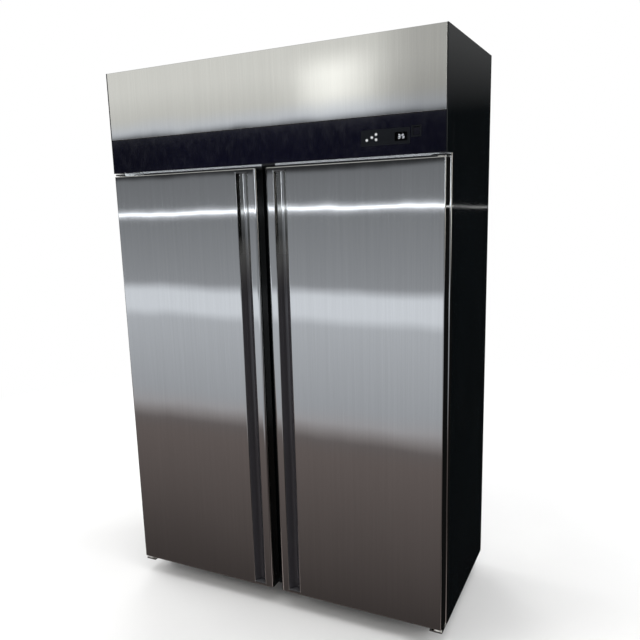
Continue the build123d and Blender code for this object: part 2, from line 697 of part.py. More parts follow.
def pilasters():
    """Slotted uprights on the walls, the mullion and the rear wall."""
    z0, z1 = FLOOR + 30, EVAPORATOR_BOTTOM - 30
    slot_pitch, slot_height, slot_width = 50.0, 12.0, 5.0
    rows = int((z1 - z0 - 40) // slot_pitch)
    strips = []
    for x0, x1, y0, y1 in pilaster_places():
        strip = block(x0, x1, y0, y1, z0, z1)
        middle_x, middle_y = (x0 + x1) / 2, (y0 + y1) / 2
        on_wall = x1 == INNER_X
        half_x = 10 if on_wall else slot_width / 2
        half_y = slot_width / 2 if on_wall else 10
        if on_wall:
            depth = (x0 - 1, x0 + 4, middle_y - half_y, middle_y + half_y)
        elif y0 == MULLION_REAR:
            depth = (middle_x - half_x, middle_x + half_x, y1 - 4, y1 + 1)
        else:
            depth = (middle_x - half_x, middle_x + half_x, y0 - 1, y0 + 4)
        cutters = []
        for row in range(rows):
            z = z0 + 20 + slot_pitch * row
            cutters.append(block(*depth, z, z + slot_height))
        strips.append(strip - Compound(cutters))
    return both_sides(strips)


def shelf_clips():
    """Clips that hook on the pilasters and carry the shelves' corners."""
    reach, height = 26.0, 8.0
    clips = []
    for level in shelf_levels():
        for x0, x1, y0, y1 in pilaster_places():
            if x1 == INNER_X:
                clips.append(block(x0 - reach, x0, y0 + 4, y1 - 4, level - height, level))
            elif y0 == MULLION_REAR:
                clips.append(block(x0 + 3, x1 - 3, y1, y1 + reach, level - height, level))
            else:
                clips.append(block(x0 + 3, x1 - 3, y0 - reach, y0, level - height, level))
    return both_sides(clips)


def wire_shelf():
    """One welded wire shelf, its underside at Z = 0."""
    frame_radius, bar_radius, wire_radius = 4.0, 3.0, 2.0
    x0, x1 = 16.0, INNER_X - 14
    y0, y1 = MULLION_REAR + 14, INNER_REAR - 22
    weld = 0.8
    middle = frame_radius
    shelf = rod_x(frame_radius, x0, x1, y0, middle) + rod_x(frame_radius, x0, x1, y1, middle)
    for x in (x0, x1):
        shelf += rod_y(frame_radius, y0, y1, x, middle)
        for y in (y0, y1):
            shelf += Pos(x, y, middle) * Sphere(frame_radius)
    for share in (1 / 3, 2 / 3):
        shelf += rod_x(bar_radius, x0, x1, y0 + (y1 - y0) * share, middle + frame_radius - bar_radius)
    wires = 20
    pitch = (x1 - x0) / (wires + 1)
    wire_height = middle + frame_radius + wire_radius - weld
    rods = [rod_y(wire_radius, y0 - 2, y1 + 2, x0 + pitch * (1 + k), wire_height) for k in range(wires)]
    return shelf.fuse(*rods)


def wire_shelves(side):
    """The shelves of one bay."""
    shelf = wire_shelf()
    return [on_side(Pos(0, 0, level) * shelf, side) for level in shelf_levels()]


def interior_lamps():
    """Lamp bars under the ceiling, just behind the frame."""
    lamp = block(90, 510, BODY_FRONT + 14, BODY_FRONT + 36, CEILING - 12, CEILING)
    lower = [e for e in lamp.edges().filter_by(Axis.X) if e.center().Z < CEILING - 6]
    return both_sides([fillet(lower, 4)])


def evaporator_housing():
    """Sheet housing of the cooling coil, open at the ceiling and the rear, with two fan holes."""
    t = EVAPORATOR_SHEET
    rear = INNER_REAR - 11
    low, front = EVAPORATOR_BOTTOM, EVAPORATOR_FRONT
    housing = block(-430, 430, front, rear, low, CEILING)
    housing -= block(-430 + t, 430 - t, front + t, rear + 5, low + t, CEILING + 5)
    for sign in SIDES.values():
        housing -= rod_y(FAN_HOLE_RADIUS, front - 5, front + 5, sign * FAN_X, FAN_Z)
    return housing


def evaporator_coil():
    """Finned coil block between two end plates, with its drip tray below."""
    coil_half, y0, y1 = 380.0, 155.0, 230.0
    tray_low, wall = EVAPORATOR_BOTTOM + EVAPORATOR_SHEET, 1.5
    coil = block(-coil_half, coil_half, y0, y1, EVAPORATOR_BOTTOM + 28, COIL_TOP)
    cutters = [block(x, x + 5, y0 - 5, y0 + 7, EVAPORATOR_BOTTOM, CEILING) for x in range(-370, 370, 12)]
    coil -= Compound(cutters)
    for sign in SIDES.values():
        coil += block(sign * coil_half, sign * (coil_half + 2), y0, y1, tray_low + wall, CEILING)
    tray = block(-400, 400, 148, 234, tray_low, EVAPORATOR_BOTTOM + 25)
    tray -= block(-400 + wall, 400 - wall, 148 + wall, 234 - wall, tray_low + wall, CEILING)
    return [coil, tray - tube_along(drain_path(), DRAIN_RADIUS)]


def drain_tube():
    """Drain from the coil's tray to the pan under the cabinet."""
    tube = tube_along(drain_path(), DRAIN_RADIUS) - tube_along(drain_path(), DRAIN_RADIUS - 1.5)
    start = block(-20, 20, 190, 230, EVAPORATOR_BOTTOM, COIL_TOP)
    return tube - start


def fan_blades(hub_radius, tip_radius, width, count, pitch_angle):
    """An axial fan wheel about the Y axis, centred on the origin."""
    wheel = rod_y(hub_radius, -width / 2, width / 2, 0, 0)
    length = tip_radius - hub_radius + 3
    chord = 0.75 * 2 * math.pi * (hub_radius + tip_radius) / 2 / count
    for k in range(count):
        blade = Pos(hub_radius - 3 + length / 2, 0, 0) * Rot(pitch_angle, 0, 0) * Box(length, 1.6, chord)
        tip = rod_y(tip_radius, -width, width, 0, 0)
        wheel += Rot(0, 360 / count * k, 0) * (blade & tip)
    return wheel


def evaporator_fan(side):
    """Wheel of one evaporator fan on its motor's shaft."""
    wheel = fan_blades(18, 50, 18, 5, 32)
    wheel = Pos(SIDES[side] * FAN_X, EVAPORATOR_FRONT + 24, FAN_Z) * wheel
    return wheel - rod_y(3 + RUNNING_FIT, 0, 300, SIDES[side] * FAN_X, FAN_Z)


def fan_motors():
    """Motors of the two evaporator fans and of the condenser fan, with their brackets."""
    motors = []
    for sign in SIDES.values():
        x = sign * FAN_X
        body = rod_y(26, EVAPORATOR_FRONT + 38, EVAPORATOR_FRONT + 72, x, FAN_Z)
        shaft = rod_y(3, EVAPORATOR_FRONT + 18, EVAPORATOR_FRONT + 40, x, FAN_Z)
        y0 = EVAPORATOR_FRONT + 72
        strap = block(x - 9, x + 9, y0 - 2, y0 + 2, EVAPORATOR_BOTTOM + 1, CEILING)
        motors.append(body + shaft + strap)
    y = CONDENSER_REAR
    body = rod_y(42, y + 72, y + 130, CONDENSER_X, CONDENSER_Z)
    body = fillet(body.edges().filter_by(GeomType.CIRCLE), 6)
    body += rod_y(5, y + 22, y + 74, CONDENSER_X, CONDENSER_Z)
    body += block(CONDENSER_X - 160, CONDENSER_X + 160, y + 100, y + 104, CONDENSER_Z - 9, CONDENSER_Z + 9)
    for sign in SIDES.values():
        x = CONDENSER_X + sign * 158
        body += block(x - 2, x + 2, y + SHROUD_DEPTH, y + 104, CONDENSER_Z - 9, CONDENSER_Z + 9)
    motors.append(body)
    return motors


def fan_guards():
    """Wire guards over the evaporator fan holes."""
    guards = []
    y = EVAPORATOR_FRONT - 2
    for sign in SIDES.values():
        place = Pos(sign * FAN_X, y, FAN_Z) * Rot(90, 0, 0)
        rim = FAN_HOLE_RADIUS + 4
        guard = place * Torus(rim, 2)
        for share in (0.3, 0.54, 0.77):
            guard += place * Torus(rim * share, 1.4)
        for angle in (0, 45, 90, 135):
            guard += place * Rot(0, 0, angle) * Rot(0, 90, 0) * Cylinder(1.6, 2 * rim)
        guards.append(guard)
    return guards


# ---- Machine compartment ----

def compressor():
    """Hermetic compressor: domed shell, terminal box, base plate and rubber grommets."""
    x, y = COMPRESSOR_X, COMPRESSOR_Y
    plate_low = DECK_TOP + GROMMET_HEIGHT
    shell = rod_z(COMPRESSOR_RADIUS, plate_low + 3, plate_low + COMPRESSOR_HEIGHT, x, y)
    shell = fillet(shell.edges().sort_by(Axis.Z)[-1], 45)
    shell = fillet(shell.edges().sort_by(Axis.Z)[0], 14)
    shell += block(x - 100, x + 100, y - 85, y + 85, plate_low, plate_low + 3.5)
    shell += rod_z(COMPRESSOR_RADIUS + 3, plate_low + 72, plate_low + 78, x, y)
    shell += block(x + 60, x + 105, y - 28, y + 28, plate_low + 60, plate_low + 125)
    pieces = [shell]
    for dx in (-86, 86):
        for dy in (-70, 70):
            pieces.append(rod_z(13, DECK_TOP, plate_low, x + dx, y + dy))
    return pieces


def condenser_coil():
    """Finned condenser block with end plates."""
    y0, y1 = CONDENSER_FRONT, CONDENSER_REAR
    x0, x1 = CONDENSER_X - CONDENSER_HALF, CONDENSER_X + CONDENSER_HALF
    top = DECK_TOP + CONDENSER_HEIGHT
    fin_pitch = 10.0
    coil = block(x0, x1, y0 + 4, y1, DECK_TOP + 6, top - 4)
    cutters = []
    for k in range(35):
        x = x0 + fin_pitch * (1 + k)
        cutters.append(block(x, x + fin_pitch / 2, y0, y0 + 14, DECK_TOP, top))
    coil -= Compound(cutters)
    for x in (x0, x1 - 2):
        coil += block(x, x + 2, y0, y1, DECK_TOP, top)
    return coil


def fan_shroud():
    """Sheet shroud that leads the condenser's air to its fan."""
    y0, y1 = CONDENSER_REAR, CONDENSER_REAR + SHROUD_DEPTH
    x0, x1 = CONDENSER_X - CONDENSER_HALF, CONDENSER_X + CONDENSER_HALF
    top = DECK_TOP + CONDENSER_HEIGHT
    t = 1.5
    shroud = block(x0, x1, y0, y1, DECK_TOP, top)
    shroud -= block(x0 + t, x1 - t, y0 - 5, y1 - t, DECK_TOP + t, top - t)
    return shroud - rod_y(118, y0, y1 + 5, CONDENSER_X, CONDENSER_Z)


def condenser_fan():
    """Wheel of the condenser fan."""
    y = CONDENSER_REAR + SHROUD_DEPTH + 2
    wheel = Pos(CONDENSER_X, y, CONDENSER_Z) * fan_blades(28, 110, 26, 5, 24)
    return wheel - rod_y(5 + RUNNING_FIT, -200, 300, CONDENSER_X, CONDENSER_Z)


def refrigerant_pipes():
    """Discharge, liquid and suction lines, with the filter drier on the liquid line."""
    coil_x = CONDENSER_X - CONDENSER_HALF
    coil_y = CONDENSER_FRONT + CONDENSER_DEPTH / 2
    low, high = DECK_TOP + 40, COMPRESSOR_TOP + 60
    discharge = FilletPolyline(
        (COMPRESSOR_X + 20, COMPRESSOR_Y - 20, COMPRESSOR_TOP),
        (COMPRESSOR_X + 20, COMPRESSOR_Y - 20, high),
        (COMPRESSOR_X + 20, coil_y, high),
        (coil_x, coil_y, high),
        radius=22,
    )
    liquid = FilletPolyline(
        (coil_x, coil_y, low),
        (coil_x - 60, coil_y, low),
        (coil_x - 60, 205, low),
        (-330, 205, low),
        (-330, 205, COIL_TOP),
        radius=22,
    )
    suction = FilletPolyline(
        (-350, 180, COIL_TOP),
        (-350, 180, DECK_TOP + 70),
        (COMPRESSOR_X, 180, DECK_TOP + 110),
        (COMPRESSOR_X, COMPRESSOR_Y + COMPRESSOR_RADIUS, DECK_TOP + 110),
        radius=12,
    )
    pipes = [tube_along(discharge, 4), tube_along(suction, 6)]
    drier = rod_y(13, 30, 120, coil_x - 60, low)
    drier = fillet(drier.edges().filter_by(GeomType.CIRCLE), 8)
    pipes.append(tube_along(liquid, 3.5) + drier)
    return pipes


def electrical_box():
    """Hollow electrical box with its lid."""
    x0, x1, y0, y1 = 390, 560, 40, 230
    z0, z1 = DECK_TOP, DECK_TOP + 110
    wall = 2.5
    box = block(x0, x1, y0, y1, z0, z1)
    box -= block(x0 + wall, x1 - wall, y0 + wall, y1 - wall, z0 + wall, z1 + 5)
    lid = block(x0 - 1, x1 + 1, y0 - 1, y1 + 1, z1, z1 + 6)
    lid = fillet(lid.edges().filter_by(Axis.Z), 3)
    return [box, lid]


# ---- Nodes ----

def main():
    os.makedirs("parts", exist_ok=True)
    skin, foam, liner = door_skin(), door_foam(), door_liner()
    for side in SIDES:
        save(f"door_skin_{side}", on_side(skin, side))
        save(f"door_foam_{side}", on_side(foam, side))
        save(f"door_inner_panel_{side}", on_side(liner, side))
        save(f"door_gasket_{side}", [on_side(strip, side) for strip in door_gasket()])
        save(f"door_bushes_{side}", [on_side(bush, side) for bush in door_bushes()])
        save(f"side_panel_{side}", on_side(side_panel(), side))
        save(f"wire_shelves_{side}", wire_shelves(side))
        save(f"evaporator_fan_{side}", evaporator_fan(side))
    for name, (x, y) in foot_places().items():
        save(f"levelling_foot_{name}", levelling_foot(x, y))
    for name in KEYS:
        save(f"controller_key_{name}", controller_key(name))
    makers = [
        hinge_brackets, rear_panel, bottom_panel, insulation, inner_liner, front_frame, mullion,
        breaker_strips, machine_deck, rear_grille, top_cover, hood, control_fascia, controller_body,
        display_lens, power_rocker, header_panel, base_rails, condensate_pan, drain_tube, wall_bumpers,
        cable_gland, panel_screws, pilasters, shelf_clips, interior_lamps, evaporator_housing,
        evaporator_coil, fan_motors, fan_guards, compressor, condenser_coil, fan_shroud, condenser_fan,
        refrigerant_pipes, electrical_box,
    ]
    for maker in makers:
        save(maker.__name__, maker())


main()
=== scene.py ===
import json
import math

import bmesh
import bpy
from mathutils import Matrix, Vector


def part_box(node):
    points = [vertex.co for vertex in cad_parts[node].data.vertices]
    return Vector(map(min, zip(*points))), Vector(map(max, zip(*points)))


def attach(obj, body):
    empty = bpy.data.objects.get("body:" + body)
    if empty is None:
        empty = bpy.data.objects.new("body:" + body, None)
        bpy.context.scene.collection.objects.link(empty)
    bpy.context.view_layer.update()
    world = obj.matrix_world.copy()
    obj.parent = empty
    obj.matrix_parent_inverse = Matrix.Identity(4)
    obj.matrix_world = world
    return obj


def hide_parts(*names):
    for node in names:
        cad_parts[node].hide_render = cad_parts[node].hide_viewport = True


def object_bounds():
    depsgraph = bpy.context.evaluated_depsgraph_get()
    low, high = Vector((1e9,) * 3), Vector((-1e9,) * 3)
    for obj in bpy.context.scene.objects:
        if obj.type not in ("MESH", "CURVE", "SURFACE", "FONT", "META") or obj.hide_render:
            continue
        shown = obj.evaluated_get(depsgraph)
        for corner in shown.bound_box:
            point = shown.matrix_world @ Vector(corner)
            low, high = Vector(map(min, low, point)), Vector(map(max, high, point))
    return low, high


# Looks of the two-door upright refrigerator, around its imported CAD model. Metres, +Z up, doors face -Y.

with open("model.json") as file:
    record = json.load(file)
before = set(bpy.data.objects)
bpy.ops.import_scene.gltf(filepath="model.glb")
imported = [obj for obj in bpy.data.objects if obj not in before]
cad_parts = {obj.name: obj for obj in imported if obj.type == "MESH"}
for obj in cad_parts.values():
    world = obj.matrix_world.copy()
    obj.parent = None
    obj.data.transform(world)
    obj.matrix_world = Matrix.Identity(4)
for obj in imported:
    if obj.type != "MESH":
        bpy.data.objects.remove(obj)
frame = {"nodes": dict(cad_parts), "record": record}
cad_bounds = [list(corner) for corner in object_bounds()]
nodes = frame["nodes"]
scene = bpy.context.scene


# ---- Material building ----

class Shader:
    """A material, its node tree and its Principled shader."""

    def __init__(self, name, **sockets):
        self.material = bpy.data.materials.new(name)
        self.material.use_nodes = True
        self.tree = self.material.node_tree
        self.principled = self.tree.nodes["Principled BSDF"]
        self.coords = self.node("ShaderNodeTexCoord").outputs["Object"]
        for socket, value in sockets.items():
            self.principled.inputs[socket.replace("_", " ")].default_value = value

    def node(self, kind, **settings):
        node = self.tree.nodes.new(kind)
        for key, value in settings.items():
            setattr(node, key, value)
        return node

    def link(self, output, target):
        self.tree.links.new(output, target)

    def mapped(self, scale):
        """Object coordinates stretched by a scale per axis."""
        mapping = self.node("ShaderNodeMapping")
        mapping.inputs["Scale"].default_value = scale
        self.link(self.coords, mapping.inputs["Vector"])
        return mapping.outputs["Vector"]

    def noise(self, scale, detail=2.0, roughness=0.5):
        """Noise from 0 to 1; scale is cells per metre, along each axis."""
        node = self.node("ShaderNodeTexNoise")
        node.inputs["Scale"].default_value = 1.0
        node.inputs["Detail"].default_value = detail
        node.inputs["Roughness"].default_value = roughness
        self.link(self.mapped(scale), node.inputs["Vector"])
        return node.outputs["Fac"]

    def spread(self, value, low, high, start=0.3, end=0.7):
        """A value from start..end mapped to low..high."""
        node = self.node("ShaderNodeMapRange")
        node.inputs["From Min"].default_value = start
        node.inputs["From Max"].default_value = end
        node.inputs["To Min"].default_value = low
        node.inputs["To Max"].default_value = high
        self.link(value, node.inputs["Value"])
        return node.outputs["Result"]

    def maths(self, operation, a, b):
        node = self.node("ShaderNodeMath", operation=operation)
        for socket, value in zip(node.inputs, (a, b)):
            if isinstance(value, (int, float)):
                socket.default_value = value
            else:
                self.link(value, socket)
        return node.outputs["Value"]

    def mix(self, factor, first, second):
        """Colour between first and second."""
        node = self.node("ShaderNodeMix", data_type="RGBA")
        self.link(factor, node.inputs["Factor"])
        for socket, value in zip((node.inputs[6], node.inputs[7]), (first, second)):
            if isinstance(value, (tuple, list)):
                socket.default_value = (*value[:3], 1.0)
            else:
                self.link(value, socket)
        return node.outputs[2]

    def bump(self, height, distance, normal=None):
        """Bump of a height field whose 0..1 stands for distance, in metres."""
        node = self.node("ShaderNodeBump")
        node.inputs["Strength"].default_value = 1.0
        node.inputs["Distance"].default_value = distance
        self.link(height, node.inputs["Height"])
        if normal is not None:
            self.link(normal, node.inputs["Normal"])
        return node.outputs["Normal"]

    def edges(self, radius):
        """1 along sharp edges and 0 on flat faces."""
        bevel = self.node("ShaderNodeBevel", samples=4)
        bevel.inputs["Radius"].default_value = radius
        flat = self.node("ShaderNodeNewGeometry").outputs["Normal"]
        dot = self.node("ShaderNodeVectorMath", operation="DOT_PRODUCT")
        self.link(bevel.outputs["Normal"], dot.inputs[0])
        self.link(flat, dot.inputs[1])
        return self.spread(dot.outputs["Value"], 1.0, 0.0, 0.80, 0.99)

    def inside(self, axis, low, high, edge):
        """1 where an object coordinate's size lies between two values, and 0 outside them."""
        parts = self.node("ShaderNodeSeparateXYZ")
        self.link(self.coords, parts.inputs["Vector"])
        size = self.maths("ABSOLUTE", parts.outputs[axis], 0.0)
        shares = []
        for limits, ends in (((low, low + edge), (0.0, 1.0)), ((high - edge, high), (1.0, 0.0))):
            step = self.node("ShaderNodeMapRange", interpolation_type="SMOOTHSTEP")
            for socket, value in zip(("From Min", "From Max", "To Min", "To Max"), (*limits, *ends)):
                step.inputs[socket].default_value = value
            self.link(size, step.inputs["Value"])
            shares.append(step.outputs["Result"])
        return self.maths("MULTIPLY", *shares)

    def set(self, socket, output):
        self.link(output, self.principled.inputs[socket])


def scaled(color, factor):
    return tuple(channel * factor for channel in color)


# The door grips' channels: distances from the cabinet's middle, depths and heights, and how softly each ends.
CHANNEL_X = (0.047, 0.095)
CHANNEL_DEPTH = (0.270, 0.3035)
CHANNEL_Z = (-0.40, 1.47)
CHANNEL_EDGE = 0.002
CHANNEL_FADE = 0.37
# Colour of the painted shade inside the grip channels.
PAINTED_SHADE_COLOR = (0.034, 0.032, 0.036)


def channel_painted_shade(s):
    """Mask of the door grips' channels, where painted shade darkens the steel, most of all low down."""
    across = s.inside("X", *CHANNEL_X, CHANNEL_EDGE)
    deep = s.inside("Y", *CHANNEL_DEPTH, CHANNEL_EDGE)
    low = s.inside("Z", *CHANNEL_Z, CHANNEL_FADE)
    return s.maths("MULTIPLY", s.maths("MULTIPLY", across, deep), low)


# Noise cells per metre in brushed sheet, along its grain and across it.
GRAIN_CELLS = (5, 900)
STREAK_CELLS = (0.9, 90)


def along_grain(axis, cells):
    """A noise scale that is drawn out along one axis."""
    lengthways, across = cells
    return tuple(lengthways if name == axis else across for name in "XYZ")


def brushed_steel(name, color, roughness, wave=0.0009, along="Z", grain=0.000012, channel=False):
    """Sheet steel with a fine grain, faint smudges, slightly wavy flats and bright edges."""
    s = Shader(name, Metallic=1.0, Anisotropic=0.92)
    fine = s.noise(along_grain(along, GRAIN_CELLS), 3.0, 0.6)
    streaks = s.noise(along_grain(along, STREAK_CELLS), 2.0)
    smudges = s.noise((3.1, 3.1, 2.3), 4.0, 0.6)
    tone = s.mix(s.spread(fine, 0.0, 1.0), scaled(color, 0.95), scaled(color, 1.03))
    tone = s.mix(s.spread(streaks, 0.0, 0.30), tone, scaled(color, 0.90))
    tone = s.mix(s.maths("MULTIPLY", s.edges(0.0012), 0.5), tone, scaled(color, 1.25))
    # Painted shade: the grip channels' steel turns dark and less metallic, most of all low down.
    if channel:
        shade_mask = channel_painted_shade(s)
        darkened = s.maths("MULTIPLY", shade_mask, s.maths("SUBTRACT", 2.0, shade_mask))
        tone = s.mix(darkened, tone, PAINTED_SHADE_COLOR)
        s.set("Metallic", s.spread(shade_mask, 1.0, 0.05, 0.2, 1.0))
    s.set("Base Color", tone)
    s.set("Roughness", s.maths("ADD", s.spread(fine, roughness * 0.85, roughness * 1.2),
                               s.spread(smudges, 0.0, 0.012)))
    normal = s.bump(s.noise((2.6, 2.6, 2.2), 1.0, 0.4), wave)
    normal = s.bump(s.noise((8, 8, 5), 1.0, 0.4), wave * 0.2, normal)
    s.set("Normal", s.bump(fine, grain, normal))
    tangent = s.node("ShaderNodeTangent", direction_type="RADIAL", axis=along)
    s.set("Tangent", tangent.outputs["Tangent"])
    return s.material


def paint(name, color, roughness, wave=0.0004, wear=0.35):
    """Sprayed paint on sheet metal: orange peel, dust and edges rubbed lighter."""
    s = Shader(name, Specular_IOR_Level=0.45)
    peel = s.noise((420, 420, 420), 2.0)
    dust = s.noise((14, 14, 6), 5.0, 0.65)
    clouds = s.noise((3.5, 3.5, 2.0), 3.0)
    tone = s.mix(s.spread(clouds, 0.0, 1.0), scaled(color, 0.85), scaled(color, 1.2))
    rubbed = tuple(channel * 1.5 + 0.004 for channel in color)
    tone = s.mix(s.spread(dust, 0.0, 0.25, 0.5, 0.75), tone, rubbed)
    worn = s.maths("MULTIPLY", s.edges(0.0018), s.spread(dust, wear * 0.4, wear))
    s.set("Base Color", s.mix(worn, tone, (0.10, 0.10, 0.10)))
    s.set("Roughness", s.maths("ADD", s.spread(dust, roughness * 0.9, roughness * 1.15),
                               s.spread(peel, -0.02, 0.02)))
    waves = s.noise((2.4, 2.4, 2.0), 1.0)
    s.set("Normal", s.bump(peel, 0.00002, s.bump(waves, wave)))
    return s.material


def moulded(name, color, roughness, grain=0.00003, size=900, specular=0.5):
    """Moulded plastic or rubber: fine texture, slight tone changes and softly polished edges."""
    s = Shader(name, Specular_IOR_Level=specular)
    texture = s.noise((size, size, size), 3.0, 0.6)
    clouds = s.noise((30, 30, 30), 3.0)
    tone = s.mix(s.spread(clouds, 0.0, 1.0), scaled(color, 0.9), scaled(color, 1.1))
    lighter = tuple(min(channel * 1.25 + 0.015, 1.0) for channel in color)
    tone = s.mix(s.maths("MULTIPLY", s.edges(0.0006), 0.5), tone, lighter)
    s.set("Base Color", tone)
    both = s.maths("ADD", texture, clouds)
    s.set("Roughness", s.spread(both, roughness * 0.88, roughness * 1.12, 0.7, 1.3))
    s.set("Normal", s.bump(texture, grain))
    return s.material


def galvanised(name, color):
    """Zinc-coated sheet with its spangle and a little oxide."""
    s = Shader(name, Metallic=0.85)
    cells = s.node("ShaderNodeTexVoronoi", feature="F1")
    cells.inputs["Scale"].default_value = 1.0
    s.link(s.mapped((75, 75, 75)), cells.inputs["Vector"])
    grey = s.node("ShaderNodeRGBToBW")
    s.link(cells.outputs["Color"], grey.inputs["Color"])
    spangle = grey.outputs["Val"]
    oxide = s.noise((7, 7, 5), 5.0, 0.65)
    tone = s.mix(s.spread(spangle, 0.0, 1.0, 0.2, 0.8), scaled(color, 0.84), scaled(color, 1.1))
    tone = s.mix(s.spread(oxide, 0.0, 0.4, 0.5, 0.75), tone, (0.62, 0.62, 0.60))
    s.set("Base Color", tone)
    s.set("Roughness", s.maths("ADD", s.spread(spangle, 0.33, 0.46, 0.2, 0.8), s.spread(oxide, 0.0, 0.12)))
    waves = s.noise((3, 3, 3), 1.0)
    s.set("Normal", s.bump(spangle, 0.00001, s.bump(waves, 0.0006)))
    return s.material


def metal(name, color, roughness, size=260):
    """Plain machined or plated metal with tarnish and fine scratches."""
    s = Shader(name, Metallic=1.0)
    scratches = s.noise((size * 4, size, size * 0.3), 3.0, 0.6)
    tarnish = s.noise((22, 22, 22), 4.0, 0.6)
    tone = s.mix(s.spread(tarnish, 0.0, 1.0), scaled(color, 0.78), scaled(color, 1.08))
    s.set("Base Color", tone)
    s.set("Roughness", s.maths("ADD", s.spread(scratches, roughness * 0.8, roughness * 1.25),
                               s.spread(tarnish, 0.08, 0.0)))
    s.set("Normal", s.bump(scratches, 0.00001))
    return s.material


def rigid_foam(name, color):
    """Cellular rigid foam."""
    s = Shader(name)
    cells = s.node("ShaderNodeTexVoronoi", feature="F1")
    cells.inputs["Scale"].default_value = 1.0
    s.link(s.mapped((700, 700, 700)), cells.inputs["Vector"])
    clouds = s.noise((12, 12, 12), 3.0)
    s.set("Base Color", s.mix(s.spread(clouds, 0.0, 1.0), scaled(color, 0.85), scaled(color, 1.08)))
    s.set("Roughness", s.spread(clouds, 0.8, 0.95))
    s.set("Normal", s.bump(cells.outputs["Distance"], 0.0004))
    return s.material


def gloss_band(name, color):
    """Back-painted gloss acrylic: deep colour under a smooth clear face with light dust."""
    s = Shader(name, Coat_Weight=0.3, Coat_Roughness=0.06)
    dust = s.noise((40, 40, 25), 5.0, 0.7)
    clouds = s.noise((2.2, 2.2, 3.0), 2.0)
    tone = s.mix(s.spread(clouds, 0.0, 1.0), scaled(color, 0.8), scaled(color, 1.25))
    tone = s.mix(s.spread(dust, 0.0, 0.04, 0.55, 0.8), tone, (0.06, 0.06, 0.08))
    s.set("Base Color", tone)
    s.set("Roughness", s.spread(dust, 0.07, 0.16))
    s.set("Normal", s.bump(clouds, 0.0006))
    return s.material


def window_glass(name, color):
    """Tinted clear window with faint smears."""
    s = Shader(name, Transmission_Weight=1.0, IOR=1.46)
    smears = s.noise((60, 60, 20), 4.0, 0.6)
    s.set("Base Color", s.mix(s.spread(smears, 0.0, 0.5), color, scaled(color, 1.15)))
    s.set("Roughness", s.spread(smears, 0.02, 0.09))
    return s.material


def lit(name, color, strength):
    """Lit legend: a glowing face with slightly uneven light."""
    s = Shader(name, Emission_Color=(*color, 1.0), Roughness=0.4)
    uneven = s.noise((500, 500, 500), 1.0)
    s.set("Base Color", s.mix(uneven, scaled(color, 0.12), scaled(color, 0.20)))
    s.set("Emission Strength", s.spread(uneven, strength * 0.85, strength * 1.1))
    return s.material


def slot_colour(slot):
    """The record's own colour of a material slot."""
    for entry in frame["record"]["materials"]:
        if entry["slot"] == slot:
            return tuple(entry["base_color"][:3])
    raise ValueError(slot)


MATERIALS = {
    "stainless": brushed_steel("stainless", slot_colour("stainless"), 0.055, 0.0015, channel=True),
    "side_black": paint("side_black", (0.0014, 0.0024, 0.0030), 0.07),
    "band_black": gloss_band("band_black", (0.0015, 0.0015, 0.0060)),
    "control_black": moulded("control_black", (0.005, 0.006, 0.008), 0.38, specular=0.12),
    "switch_black": moulded("switch_black", (0.003, 0.003, 0.007), 0.22, 0.00001, specular=0.2),
    "key_grey": moulded("key_grey", slot_colour("key_grey"), 0.4),
    "display_glass": window_glass("display_glass", (0.55, 0.56, 0.60)),
    "liner_steel": brushed_steel("liner_steel", slot_colour("liner_steel"), 0.30, 0.0004, grain=0.000004),
    "galvanised": galvanised("galvanised", slot_colour("galvanised")),
    "foam": rigid_foam("foam", slot_colour("foam")),
    "gasket_rubber": moulded("gasket_rubber", slot_colour("gasket_rubber"), 0.62, 0.00004, 500),
    "nylon": moulded("nylon", slot_colour("nylon"), 0.42),
    "strip_plastic": moulded("strip_plastic", slot_colour("strip_plastic"), 0.45),
    "shelf_coating": paint("shelf_coating", slot_colour("shelf_coating"), 0.35, 0.0, 0.1),
    "zinc": metal("zinc", slot_colour("zinc"), 0.26),
    "foot_steel": metal("foot_steel", slot_colour("foot_steel"), 0.34),
    "bumper_rubber": moulded("bumper_rubber", slot_colour("bumper_rubber"), 0.75, 0.00006, 400),
    "gland_plastic": moulded("gland_plastic", slot_colour("gland_plastic"), 0.45),
    "drain_plastic": moulded("drain_plastic", slot_colour("drain_plastic"), 0.4),
    "fin_aluminium": metal("fin_aluminium", slot_colour("fin_aluminium"), 0.36),
    "housing_aluminium": brushed_steel("housing_aluminium", slot_colour("housing_aluminium"), 0.36,
                                       0.0003, "X"),
    "motor_black": paint("motor_black", slot_colour("motor_black"), 0.4, 0.0),
    "guard_black": paint("guard_black", slot_colour("guard_black"), 0.38, 0.0),
    "compressor_black": paint("compressor_black", slot_colour("compressor_black"), 0.34, 0.0),
    "copper": metal("copper", slot_colour("copper"), 0.3),
    "fan_plastic": moulded("fan_plastic", slot_colour("fan_plastic"), 0.4),
    "box_grey": moulded("box_grey", slot_colour("box_grey"), 0.5),
    "lamp_white": moulded("lamp_white", slot_colour("lamp_white"), 0.3),
}
COOL_WHITE = (0.92, 0.96, 1.0)
LIT_LEGEND = lit("lit_legend", COOL_WHITE, 0.62)
LIT_DIGITS = lit("lit_digits", COOL_WHITE, 1.30)


def dress_nodes():
    """Gives each CAD node its slot's procedural material."""
    for entry in frame["record"]["subparts"]:
        for slot in nodes[entry["node"]].material_slots:
            slot.material = MATERIALS[entry["material_slot"]]


# ---- New pieces ----

def add_piece(name, mesh, material, body):
    """Links a mesh as a piece that rides on a body."""
    piece = bpy.data.objects.new(name, mesh)
    scene.collection.objects.link(piece)
    mesh.materials.append(material)
    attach(piece, body)
    return piece


def mesh_from(name, build):
    """A mesh filled by a function that is handed its bmesh."""
    shape = bmesh.new()
    build(shape)
    bmesh.ops.recalc_face_normals(shape, faces=shape.faces)
    mesh = bpy.data.meshes.new(name)
    shape.to_mesh(mesh)
    shape.free()
    return mesh


